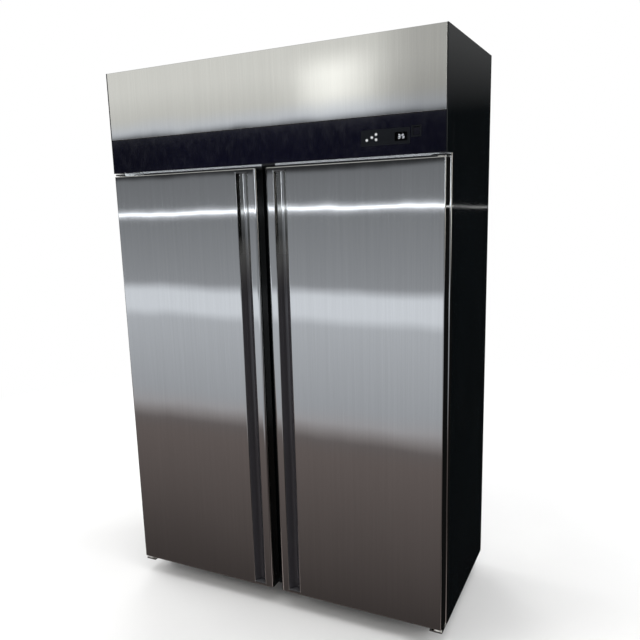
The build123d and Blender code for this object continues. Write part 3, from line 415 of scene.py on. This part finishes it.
def prism(shape, outline, y_front, y_rear):
    """A flat plate with an outline in X and Z, between two depths."""
    front = [shape.verts.new((x, y_front, z)) for x, z in outline]
    rear = [shape.verts.new((x, y_rear, z)) for x, z in outline]
    shape.faces.new(front)
    shape.faces.new(reversed(rear))
    count = len(outline)
    for k in range(count):
        near, far = k, (k + 1) % count
        shape.faces.new((front[near], rear[near], rear[far], front[far]))


def segment_outline(x, z, length, width, upright):
    """A seven-segment bar: a hexagon with pointed ends."""
    half, thick = length / 2, width / 2
    points = [(-half, 0), (-half + thick, thick), (half - thick, thick),
              (half, 0), (half - thick, -thick), (-half + thick, -thick)]
    if upright:
        points = [(b, a) for a, b in points]
    return [(x + a, z + b) for a, b in points]


# The two digits: what they show, which bars light up, and their sizes.
DIGITS = "35"
SEGMENTS = {"3": "abcdg", "5": "acdfg"}
DIGIT_WIDTH, DIGIT_HEIGHT, DIGIT_OFFSET = 0.0062, 0.0105, 0.0060
BAR_WIDTH, BAR_GAP, BAR_THICKNESS = 0.0015, 0.0004, 0.0003
BEHIND_LENS = 0.0004


def readout():
    """Two lit digits behind the controller's window."""
    low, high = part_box("display_lens")
    y_front = high.y - BEHIND_LENS
    middle_z = (low.z + high.z) / 2
    middle_x = (low.x + high.x) / 2
    side, half = DIGIT_WIDTH / 2, DIGIT_HEIGHT / 2
    # Each bar: its place from the digit's middle, and whether it stands upright.
    bars = {
        "a": (0.0, half, False), "g": (0.0, 0.0, False), "d": (0.0, -half, False),
        "b": (side, half / 2, True), "c": (side, -half / 2, True),
        "e": (-side, -half / 2, True), "f": (-side, half / 2, True),
    }

    def build(shape):
        for digit, x in zip(DIGITS, (middle_x - DIGIT_OFFSET, middle_x + DIGIT_OFFSET)):
            for letter in SEGMENTS[digit]:
                across, up, upright = bars[letter]
                length = (half if upright else DIGIT_WIDTH) - BAR_GAP
                outline = segment_outline(x + across, middle_z + up, length, BAR_WIDTH, upright)
                prism(shape, outline, y_front, y_front + BAR_THICKNESS)

    add_piece("readout_digits", mesh_from("readout_digits", build), LIT_DIGITS, "cabinet")


LEGEND_SIZE = 0.0018
LEGEND_PROUD, LEGEND_SUNK = 0.00008, 0.0002


def key_legends():
    """A lit legend on each of the four keys: a dot, two arrows and a drop."""
    outlines = {
        "set": [(math.cos(a), math.sin(a)) for a in (math.tau * k / 16 for k in range(16))],
        "up": [(0, 1.1), (-1.0, -0.7), (1.0, -0.7)],
        "down": [(0, -1.1), (1.0, 0.7), (-1.0, 0.7)],
        "defrost": [(0, 1.3)] + [(0.8 * math.sin(a), -0.4 - 0.8 * math.cos(a))
                                 for a in (math.radians(100 - 25 * k) for k in range(9))],
    }
    for key, outline in outlines.items():
        low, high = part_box(f"controller_key_{key}")
        x, z = (low.x + high.x) / 2, (low.z + high.z) / 2
        points = [(x + LEGEND_SIZE * a, z + LEGEND_SIZE * b) for a, b in outline]

        def build(shape, points=points, y=low.y):
            prism(shape, points, y - LEGEND_PROUD, y + LEGEND_SUNK)

        name = f"key_legend_{key}"
        add_piece(name, mesh_from(name, build), LIT_LEGEND, f"key_{key}")


def soften(piece, radius):
    """Rounds a piece's edges slightly and shades it smooth."""
    bevel = piece.modifiers.new("soft_edges", "BEVEL")
    bevel.width = radius
    bevel.segments = 2
    bevel.limit_method = "ANGLE"
    bevel.angle_limit = math.radians(30)
    for polygon in piece.data.polygons:
        polygon.use_smooth = True


GASKET_WIDTH = 0.020
# Half of the gasket's section, from the outer edge inwards: (share of the width, share of the depth).
HALF_GASKET = [(0.00, 0.00), (0.00, 0.18), (0.05, 0.25), (0.15, 0.25), (0.21, 0.33), (0.16, 0.43),
               (0.22, 0.53), (0.17, 0.63), (0.16, 0.76), (0.19, 0.90), (0.27, 0.98), (0.38, 1.00)]


def door_gasket(side):
    """Magnetic door gasket: a clipped foot, folded bellows and a round magnet bulb, mitred at the corners."""
    node = f"door_gasket_{side}"
    low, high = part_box(node)
    depth = high.y - low.y
    section = HALF_GASKET + [(1.0 - a, b) for a, b in reversed(HALF_GASKET)]

    def build(shape):
        rings = []
        for across, out in section:
            inset, y = across * GASKET_WIDTH, low.y + out * depth
            corners = ((low.x + inset, low.z + inset), (high.x - inset, low.z + inset),
                       (high.x - inset, high.z - inset), (low.x + inset, high.z - inset))
            rings.append([shape.verts.new((x, y, z)) for x, z in corners])
        for first, second in zip(rings, rings[1:] + rings[:1]):
            for k in range(4):
                nxt = (k + 1) % 4
                shape.faces.new((first[k], first[nxt], second[nxt], second[k]))

    piece = add_piece(f"gasket_profile_{side}", mesh_from(node, build), MATERIALS["gasket_rubber"],
                      f"{side}_door")
    soften(piece, 0.0004)
    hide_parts(node)


# The grip channel's middle and ends, from the door's free edge and ends, and the plugs' thickness.
GRIP_MIDDLE, GRIP_END, CAP_THICKNESS = 0.054, 0.010, 0.003
# Half of the channel's section: (distance from its middle, depth).
HALF_CHANNEL = [(0.0213, 0.0017), (0.0076, 0.0189), (0.0040, 0.0221), (0.0, 0.0230)]


def grip_end_caps(side):
    """Moulded plugs that close both ends of a door's grip channel."""
    low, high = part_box(f"door_skin_{side}")
    sign = 1.0 if side == "right" else -1.0
    free_end = low.x if side == "right" else high.x
    middle = free_end + sign * GRIP_MIDDLE
    section = HALF_CHANNEL + [(-across, depth) for across, depth in reversed(HALF_CHANNEL[:-1])]

    def build(shape):
        for z in (low.z + GRIP_END, high.z - GRIP_END - CAP_THICKNESS):
            floor = [shape.verts.new((middle + across, low.y + depth, z)) for across, depth in section]
            roof = [shape.verts.new(point.co + Vector((0.0, 0.0, CAP_THICKNESS))) for point in floor]
            shape.faces.new(floor)
            shape.faces.new(list(reversed(roof)))
            for k in range(len(section)):
                nxt = (k + 1) % len(section)
                shape.faces.new((floor[k], roof[k], roof[nxt], floor[nxt]))

    piece = add_piece(f"grip_end_caps_{side}", mesh_from(f"grip_end_caps_{side}", build),
                      MATERIALS["strip_plastic"], f"{side}_door")
    soften(piece, 0.0008)


# The rear grille's slots.
SLOT_COLUMNS = (-0.390, -0.130, 0.130, 0.390)
SLOT_ROWS, SLOT_FIRST_Z, SLOT_PITCH = 12, 1.6642, 0.018
# The hoods over them, and how they swell out from end to end: (share of the length, share of the reach).
HOOD_LENGTH, HOOD_HEIGHT, HOOD_REACH, HOOD_SHEET = 0.204, 0.0105, 0.0065, 0.0008
HOOD_SWELL = ((0.0, 0.0), (0.05, 0.62), (0.09, 0.92), (0.13, 1.0),
              (0.87, 1.0), (0.91, 0.92), (0.95, 0.62), (1.0, 0.0))
HOOD_STEPS = 6
HOOD_BELOW_SLOT = 0.35    # share of a hood's height that hangs below the slot's middle


def rear_louvres():
    """Pressed hoods over the rear grille's slots, closed at both ends."""
    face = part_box("rear_grille")[1].y

    def hood(shape, x, z):
        rows = []
        for along, swell in HOOD_SWELL:
            row = []
            for k in range(HOOD_STEPS + 1):
                angle = math.pi / 2 * k / HOOD_STEPS
                out = face - HOOD_SHEET / 2 + HOOD_REACH * swell * math.sin(angle)
                up = z + HOOD_HEIGHT * (math.cos(angle) - HOOD_BELOW_SLOT)
                row.append(shape.verts.new((x + (along - 0.5) * HOOD_LENGTH, out, up)))
            rows.append(row)
        for first, second in zip(rows, rows[1:]):
            for k in range(HOOD_STEPS):
                shape.faces.new((first[k], second[k], second[k + 1], first[k + 1]))

    def build(shape):
        for x in SLOT_COLUMNS:
            for row in range(SLOT_ROWS):
                hood(shape, x, SLOT_FIRST_Z + row * SLOT_PITCH)

    piece = add_piece("rear_louvres", mesh_from("rear_louvres", build), MATERIALS["galvanised"], "cabinet")
    shell = piece.modifiers.new("sheet", "SOLIDIFY")
    shell.thickness = HOOD_SHEET
    shell.offset = 0.0
    for polygon in piece.data.polygons:
        polygon.use_smooth = True


def islands(node):
    """Lowest and highest corners of each separate shell of a node's mesh."""
    shape = bmesh.new()
    shape.from_mesh(nodes[node].data)
    seen, found = set(), []
    for start in shape.verts:
        if start in seen:
            continue
        seen.add(start)
        group, waiting = [], [start]
        while waiting:
            vertex = waiting.pop()
            group.append(vertex.co.copy())
            for edge in vertex.link_edges:
                other = edge.other_vert(vertex)
                if other not in seen:
                    seen.add(other)
                    waiting.append(other)
        found.append((Vector(min(p[a] for p in group) for a in range(3)),
                      Vector(max(p[a] for p in group) for a in range(3))))
    shape.free()
    return found


def screw_head(shape, place, radius, height):
    """A pan head with a cross recess; its foot is at place's origin and it points along place's Z."""
    arm, slot = radius * 0.52, radius * 0.13
    corner = [(slot, arm), (slot, slot), (arm, slot)]
    cross = []
    for turn in range(4):
        c, s = round(math.cos(-turn * math.pi / 2)), round(math.sin(-turn * math.pi / 2))
        cross += [(x * c - y * s, x * s + y * c) for x, y in corner]
    angles = [math.atan2(y, x) for x, y in cross]
    loops = [[(x * 0.7, y * 0.7, height * 0.35) for x, y in cross], [(x, y, height) for x, y in cross]]
    for r, h in ((0.66, 1.0), (0.88, 0.86), (0.98, 0.58), (1.0, 0.3), (1.0, 0.0)):
        loops.append([(radius * r * math.cos(a), radius * r * math.sin(a), height * h) for a in angles])
    made = [[shape.verts.new(place @ Vector(point)) for point in loop] for loop in loops]
    shape.faces.new(made[0])
    for inner, outer in zip(made, made[1:]):
        for k in range(len(inner)):
            nxt = (k + 1) % len(inner)
            shape.faces.new((inner[k], inner[nxt], outer[nxt], outer[k]))
    shape.faces.new(list(reversed(made[-1])))


def panel_screws():
    """Cross-recess screws in place of the plain CAD heads."""
    middle = Vector(((cad_bounds[0][a] + cad_bounds[1][a]) / 2 for a in range(3)))

    def build(shape):
        for low, high in islands("panel_screws"):
            size, centre = high - low, (high + low) / 2
            axis = min(range(3), key=lambda a: size[a])
            outward = Vector([0.0, 0.0, 0.0])
            outward[axis] = 1.0 if centre[axis] > middle[axis] else -1.0
            foot = centre - outward * size[axis] / 2
            radius = max(size) / 2
            turn = Matrix.Rotation(foot.x * 37 + foot.z * 53, 4, "Z")
            place = Matrix.Translation(foot) @ outward.to_track_quat("Z", "Y").to_matrix().to_4x4() @ turn
            screw_head(shape, place, radius, size[axis])

    mesh = mesh_from("panel_screw_heads", build)
    piece = add_piece("panel_screw_heads", mesh, MATERIALS["zinc"], "cabinet")
    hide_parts("panel_screws")


# ---- Floor, light and camera ----

# The floor's half size, and the distances over which it turns white.
FLOOR_SIZE = 30.0
FLOOR_FADE = (1.2, 3.6)


def stage_floor():
    """Pale studio floor with a faint texture, which fades to white away from the cabinet."""
    def build(shape):
        size = FLOOR_SIZE
        corners = [(-size, -size), (size, -size), (size, size), (-size, size)]
        shape.faces.new([shape.verts.new((x, y, 0.0)) for x, y in corners])

    floor = bpy.data.objects.new("floor", mesh_from("floor", build))
    scene.collection.objects.link(floor)
    s = Shader("pale_floor")
    clouds = s.noise((1.5, 1.5, 1.5), 4.0)
    s.set("Base Color", s.mix(s.spread(clouds, 0.0, 1.0), (0.80, 0.80, 0.80), (0.83, 0.83, 0.825)))
    s.set("Roughness", s.spread(clouds, 0.75, 0.9))
    away = s.node("ShaderNodeVectorMath", operation="LENGTH")
    s.link(s.coords, away.inputs[0])
    glow = s.node("ShaderNodeEmission")
    join = s.node("ShaderNodeMixShader")
    s.link(s.spread(away.outputs["Value"], 0.0, 1.0, *FLOOR_FADE), join.inputs["Fac"])
    s.link(s.principled.outputs["BSDF"], join.inputs[1])
    s.link(glow.outputs["Emission"], join.inputs[2])
    s.link(join.outputs["Shader"], s.tree.nodes["Material Output"].inputs["Surface"])
    floor.data.materials.append(s.material)
    floor.visible_glossy = False


CABINET_MIDDLE, REAR_MIDDLE = (0.0, 0.0, 1.0), (0.0, 0.3, 1.1)
WHITE, WARM_WHITE = (1.0, 1.0, 1.0), (1.0, 0.98, 0.95)
# Name, place, target, size, power and colour of each light.
LIGHTS = (
    ("overhead", (0.0, -0.6, 4.2), CABINET_MIDDLE, (4.0, 3.0), 90, WHITE),
    ("key", (-3.4, -3.6, 3.2), CABINET_MIDDLE, (1.8, 1.8), 70, WARM_WHITE),
    ("left_fill", (-4.4, 0.6, 1.9), (-0.6, 0.0, 1.0), (1.6, 2.6), 50, WHITE),
    ("rear_right", (3.8, 4.0, 2.4), REAR_MIDDLE, (2.2, 2.6), 110, WHITE),
    ("rear_left", (-3.0, 4.4, 2.4), REAR_MIDDLE, (2.6, 2.6), 110, WHITE),
    ("right_fill", (4.4, -0.8, 2.35), (0.6, 0.0, 1.0), (1.6, 2.4), 40, WHITE),
)


def area_light(name, place, target, size, power, color):
    """A soft rectangular light that faces its target and stays out of reflections."""
    data = bpy.data.lights.new(name, "AREA")
    data.shape = "RECTANGLE"
    data.size, data.size_y = size
    data.energy = power
    data.color = color
    light = bpy.data.objects.new(name, data)
    scene.collection.objects.link(light)
    light.location = place
    light.rotation_euler = (Vector(target) - Vector(place)).to_track_quat("-Z", "Y").to_euler()
    light.visible_camera = False
    light.visible_glossy = False


def smooth(value, start, end):
    """0 before start, 1 after end, and a soft step between them."""
    t = min(max((value - start) / (end - start), 0.0), 1.0)
    return t * t * (3 - 2 * t)


def strip(value, centre, half, edge):
    """1 inside a strip and 0 outside it, with soft edges."""
    return 1.0 - smooth(abs(value - centre), half, half + edge)


def profile(points, value):
    """Straight lines between (value, brightness) points, which run from high to low."""
    for (upper, first), (lower, second) in zip(points, points[1:]):
        if value >= lower:
            share = min((upper - value) / (upper - lower), 1.0)
            return first + (second - first) * max(share, 0.0)
    return points[-1][1]


# The glowing board that stands for a room in front of the doors. Brightness is what the steel shows of it.
BOARD_Y = -4.5
BOARD_X, BOARD_Z = (-7.0, 7.0), (-6.0, 3.6)
BOARD_ROWS, BOARD_COLUMNS = 1100, 80
STEEL_REFLECTANCE = 0.62
# A made-up room, from the top down: (height on the board, brightness).
ROOM = [
    (1.7, 0.15), (0.6, 0.25),       # wall, shaded towards the top
    (0.5, 0.60), (0.3, 0.60),       # window band
    (0.2, 0.40), (-0.8, 0.30),      # wall below it
    (-1.0, 0.10), (-3.0, 0.03),     # floor, darker towards the cabinet
]
CEILING_FOOT = (2.15, 2.25)
BEAM_FOOT, BEAM_TOP, BEAM_GLOW = (1.70, 1.75), (2.15, 2.20), 0.02
LAMP_Z = 1.35
WALL_TINT = Vector((0.95, 1.0, 1.1))
FLOOR_TINT = Vector((1.15, 0.97, 0.95))
CEILING_TINT = Vector((1.0, 1.0, 0.97))


def board_glow(x, z):
    """Colour of the board at a point: floor, wall, window band, line of lamps, dark beam and ceiling."""
    glow = profile(ROOM, z) * (1.0 - 0.3 * smooth(x, -0.4, 0.2))
    ceiling = (0.5 + 0.1 * smooth(z, 2.3, 2.7)) * (1.0 - 0.4 * smooth(x, -1.2, -0.7))
    ceiling += 0.4 * strip(x, -1.5, 0.1, 0.4) * strip(z, 2.5, 0.05, 0.3)
    glow += (ceiling - glow) * smooth(z, *CEILING_FOOT)
    glow += (BEAM_GLOW - glow) * smooth(z, *BEAM_FOOT) * (1.0 - smooth(z, *BEAM_TOP))
    glow += 1.6 * strip(z, LAMP_Z, 0.006, 0.012) + 0.25 * strip(z, LAMP_Z, 0.01, 0.07)
    # Pale floor beside the cabinet, a brighter left end, and a tall lamp at the right.
    glow += (0.25 - glow) * smooth(-z, 2.9, 3.7)
    glow *= 1.0 + 0.8 * smooth(-x, 4.4, 5.2) * (1.0 - smooth(z, 1.0, 1.6))
    glow += 3.5 * strip(x, 3.3, 0.2, 0.15) * smooth(z, 1.2, 1.5) * (1.0 - smooth(z, 3.0, 3.4))
    tint = WALL_TINT.lerp(FLOOR_TINT, 1.0 - smooth(z, -1.2, -0.6))
    tint = tint.lerp(CEILING_TINT, smooth(z, 2.2, 2.4))
    return [channel * glow / STEEL_REFLECTANCE for channel in tint]


def glow_material(name):
    """Glows by the colour attribute "glow"."""
    material = bpy.data.materials.new(name)
    material.use_nodes = True
    tree = material.node_tree
    tree.nodes.clear()
    attribute = tree.nodes.new("ShaderNodeAttribute")
    attribute.attribute_name = "glow"
    emission = tree.nodes.new("ShaderNodeEmission")
    output = tree.nodes.new("ShaderNodeOutputMaterial")
    tree.links.new(attribute.outputs["Color"], emission.inputs["Color"])
    tree.links.new(emission.outputs["Emission"], output.inputs["Surface"])
    return material


def glow_board(name, rows, columns, place, colour):
    """A glowing sheet seen only in reflections; place and colour take its two shares, from 0 to 1."""
    shape = bmesh.new()
    grid = [[shape.verts.new(place(c / columns, r / rows)) for c in range(columns + 1)]
            for r in range(rows + 1)]
    for below, above in zip(grid, grid[1:]):
        for c in range(columns):
            shape.faces.new((below[c], below[c + 1], above[c + 1], above[c]))
    mesh = bpy.data.meshes.new(name)
    shape.to_mesh(mesh)
    shape.free()
    glow = mesh.color_attributes.new("glow", "FLOAT_COLOR", "POINT")
    for k, entry in enumerate(glow.data):
        entry.color = (*colour(k % (columns + 1) / columns, k // (columns + 1) / rows), 1.0)
    board = bpy.data.objects.new(name, mesh)
    scene.collection.objects.link(board)
    mesh.materials.append(glow_material(f"{name}_glow"))
    board.visible_camera = False
    board.visible_diffuse = False
    board.visible_shadow = False


def between(limits, share):
    """A value at a share of the way between two limits."""
    low, high = limits
    return low + (high - low) * share


def reflection_board():
    """The room in front of the doors."""
    def level(u, v):
        return between(BOARD_X, u), between(BOARD_Z, v)

    def place(u, v):
        x, z = level(u, v)
        return x, BOARD_Y, z

    glow_board("reflection_board", BOARD_ROWS, BOARD_COLUMNS, place, lambda u, v: board_glow(*level(u, v)))


# The tall soft lamp at the right, and the line of lamps behind the side panel.
SIDE_LAMP_X, SIDE_LAMP_Y, SIDE_LAMP_Z = 4.4, (-1.1, -0.2), (0.6, 3.5)
SIDE_LAMP_TINT = (1.03, 1.0, 0.94)
FAR_LAMPS_X, FAR_LAMPS_Y, FAR_LAMPS_Z = (0.8, 3.8), 3.4, 1.350
FAR_LAMPS_HEIGHT, FAR_LAMPS_GLOW = 0.006, (1.7, 1.7, 1.7)
FAR_LAMPS_SWAY, FAR_LAMPS_WAVES = 0.010, 9.0


def side_boards():
    """A tall soft lamp at the right, for the doors' free edges, and a line of lamps behind the side panel."""
    def lamp(u, v):
        return SIDE_LAMP_X, between(SIDE_LAMP_Y, u), between(SIDE_LAMP_Z, v)

    def lamp_colour(u, v):
        z = lamp(u, v)[2]
        return scaled(SIDE_LAMP_TINT, 2.2 * strip(z, 1.60, 0.25, 0.75) + 0.5 * smooth(z, 1.6, 2.2))

    def far_line(u, v):
        x = between(FAR_LAMPS_X, u)
        sway = FAR_LAMPS_SWAY * math.sin(x * FAR_LAMPS_WAVES) * smooth(-x, -1.9, -1.3)
        return x, FAR_LAMPS_Y, FAR_LAMPS_Z + sway + FAR_LAMPS_HEIGHT * (v - 0.5)

    glow_board("side_lamp", 24, 2, lamp, lamp_colour)
    glow_board("far_lamps", 1, 60, far_line, lambda u, v: FAR_LAMPS_GLOW)


# The world's brightness in reflections, from low to high, the directions' heights between which it rises, and
# its brightness as plain light.
GLOSSY_LOW, GLOSSY_HIGH = 0.006, 0.60
GLOSSY_RISE = (0.10, 0.45)
DIFFUSE_WORLD = 0.60


def world_light():
    """White surroundings for the eye; reflections see them dark below the horizon and pale overhead."""
    world = bpy.data.worlds.new("studio")
    scene.world = world
    world.use_nodes = True
    tree = world.node_tree

    def node(kind, **settings):
        made = tree.nodes.new(kind)
        for key, value in settings.items():
            setattr(made, key, value)
        return made

    path = node("ShaderNodeLightPath")
    direction = node("ShaderNodeSeparateXYZ")
    tree.links.new(node("ShaderNodeTexCoord").outputs["Generated"], direction.inputs["Vector"])
    height = node("ShaderNodeMapRange")
    limits = (*GLOSSY_RISE, GLOSSY_LOW, GLOSSY_HIGH)
    for socket, value in zip(("From Min", "From Max", "To Min", "To Max"), limits):
        height.inputs[socket].default_value = value
    tree.links.new(direction.outputs["Z"], height.inputs["Value"])
    ray = node("ShaderNodeMix")
    ray.inputs["A"].default_value = DIFFUSE_WORLD
    tree.links.new(path.outputs["Is Glossy Ray"], ray.inputs["Factor"])
    tree.links.new(height.outputs["Result"], ray.inputs["B"])
    eye = node("ShaderNodeMath", operation="MAXIMUM")
    tree.links.new(ray.outputs["Result"], eye.inputs[0])
    tree.links.new(path.outputs["Is Camera Ray"], eye.inputs[1])
    background = tree.nodes["Background"]
    background.inputs["Color"].default_value = (1.0, 1.0, 1.0, 1.0)
    tree.links.new(eye.outputs["Value"], background.inputs["Strength"])


# The camera's place, its pitch, roll and yaw, its lens and sensor in millimetres, and its shift.
EYE = Vector((1.1189, -2.3374, 1.4881))
CAMERA_ANGLES = tuple(math.radians(a) for a in (-11.507, -2.332, 28.475))
LENS, SENSOR = 38.98, 36.0
CAMERA_SHIFT = (0.0766, 0.0281)


def camera():
    """Standing eye in front of the right door, turned towards the middle of the doors."""
    data = bpy.data.cameras.new("camera")
    data.sensor_width = SENSOR
    data.lens = LENS
    data.shift_x, data.shift_y = CAMERA_SHIFT
    data.clip_end = 2 * FLOOR_SIZE
    eye = bpy.data.objects.new("camera", data)
    scene.collection.objects.link(eye)
    pitch, roll, yaw = CAMERA_ANGLES
    level = Matrix.Rotation(yaw, 4, "Z") @ Matrix.Rotation(math.pi / 2 + pitch, 4, "X")
    eye.matrix_world = Matrix.Translation(EYE) @ level @ Matrix.Rotation(roll, 4, "Z")
    scene.camera = eye


# ---- The scene ----

dress_nodes()
readout()
key_legends()
for hand in ("left", "right"):
    door_gasket(hand)
    grip_end_caps(hand)
rear_louvres()
panel_screws()
stage_floor()
world_light()
reflection_board()
side_boards()
for light in LIGHTS:
    area_light(*light)
camera()
scene.view_settings.view_transform = "Standard"
